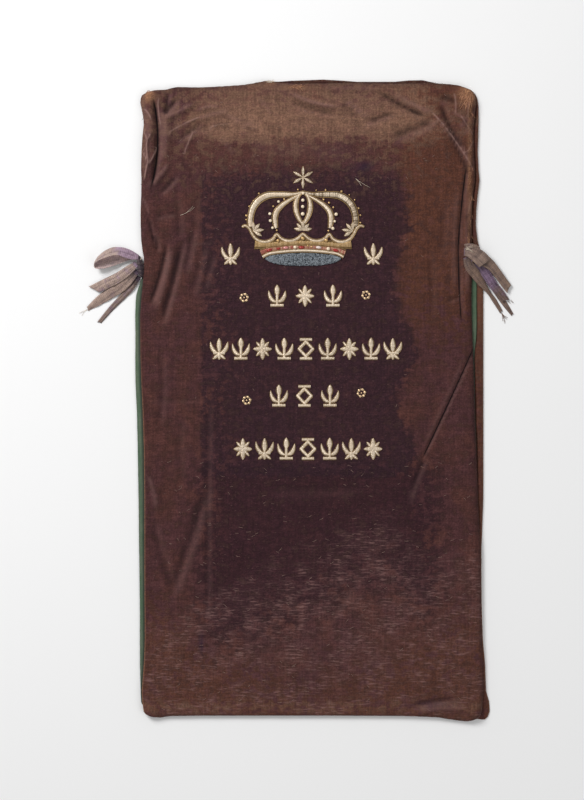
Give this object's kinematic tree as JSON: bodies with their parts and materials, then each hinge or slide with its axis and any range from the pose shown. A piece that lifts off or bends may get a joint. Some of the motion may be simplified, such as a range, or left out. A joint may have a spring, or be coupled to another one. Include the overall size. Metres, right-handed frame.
{
  "type": "torah mantle",
  "caption": "Flat-laid velvet scroll cover of two panels sewn at the upper sides, with a lining, ribbon ties at both sides and padded metal-thread embroidery.",
  "frame": {"origin": "on the surface that the mantle lies on, below the middle of its bounding box, ties included", "axes": "+X across the mantle to the right tie, +Y up its length to the top edge, +Z out of its face"},
  "size_m": [0.5536, 0.8286, 0.0168],
  "materials": {
    "velvet": "worn cotton velvet, purple-brown, faded brown at the top and edges",
    "lining": "plain-woven green lining cloth, dull",
    "ribbon": "fine ribbed silk ribbon, faded mauve and taupe, low sheen",
    "metal_thread": "couched silver-gilt thread over padding, tarnished, soft gleam",
    "bullion": "cut coils of blue-grey metal thread, speckled"
  },
  "bodies": {
    "root": {"front_panel": "velvet", "back_panel": "velvet", "back_lining": "lining", "tie_left_knot": "ribbon", "tie_right_knot": "ribbon", "tie_left_loop": "ribbon", "tie_left_tail_a": "ribbon", "tie_left_tail_b": "ribbon", "tie_left_tail_c": "ribbon", "tie_right_tail_a": "ribbon", "tie_right_tail_b": "ribbon", "tie_right_tail_c": "ribbon", "tie_right_tail_d": "ribbon", "crown_arches": "metal_thread", "crown_circlet": "metal_thread", "crown_underside": "bullion", "crown_star": "metal_thread", "crown_leaves_left": "metal_thread", "crown_leaves_middle": "metal_thread", "crown_leaves_right": "metal_thread", "figure_0_1_lily": "metal_thread", "figure_0_2_lily": "metal_thread", "figure_1_1_sprig": "metal_thread", "figure_1_2_quatrefoil": "metal_thread", "figure_1_3_sprig": "metal_thread", "figure_2_1_lily": "metal_thread", "figure_2_2_sprig": "metal_thread", "figure_2_3_quatrefoil": "metal_thread", "figure_2_4_sprig": "metal_thread", "figure_2_5_lozenge": "metal_thread", "figure_2_6_sprig": "metal_thread", "figure_2_7_quatrefoil": "metal_thread", "figure_2_8_sprig": "metal_thread", "figure_2_9_lily": "metal_thread", "figure_3_1_sprig": "metal_thread", "figure_3_2_lozenge": "metal_thread", "figure_3_3_sprig": "metal_thread", "figure_4_1_quatrefoil": "metal_thread", "figure_4_2_lily": "metal_thread", "figure_4_3_sprig": "metal_thread", "figure_4_4_lozenge": "metal_thread", "figure_4_5_sprig": "metal_thread", "figure_4_6_lily": "metal_thread", "figure_4_7_quatrefoil": "metal_thread", "rosette_1": "metal_thread", "rosette_2": "metal_thread", "rosette_3": "metal_thread", "rosette_4": "metal_thread"}
  },
  "joints": []
}
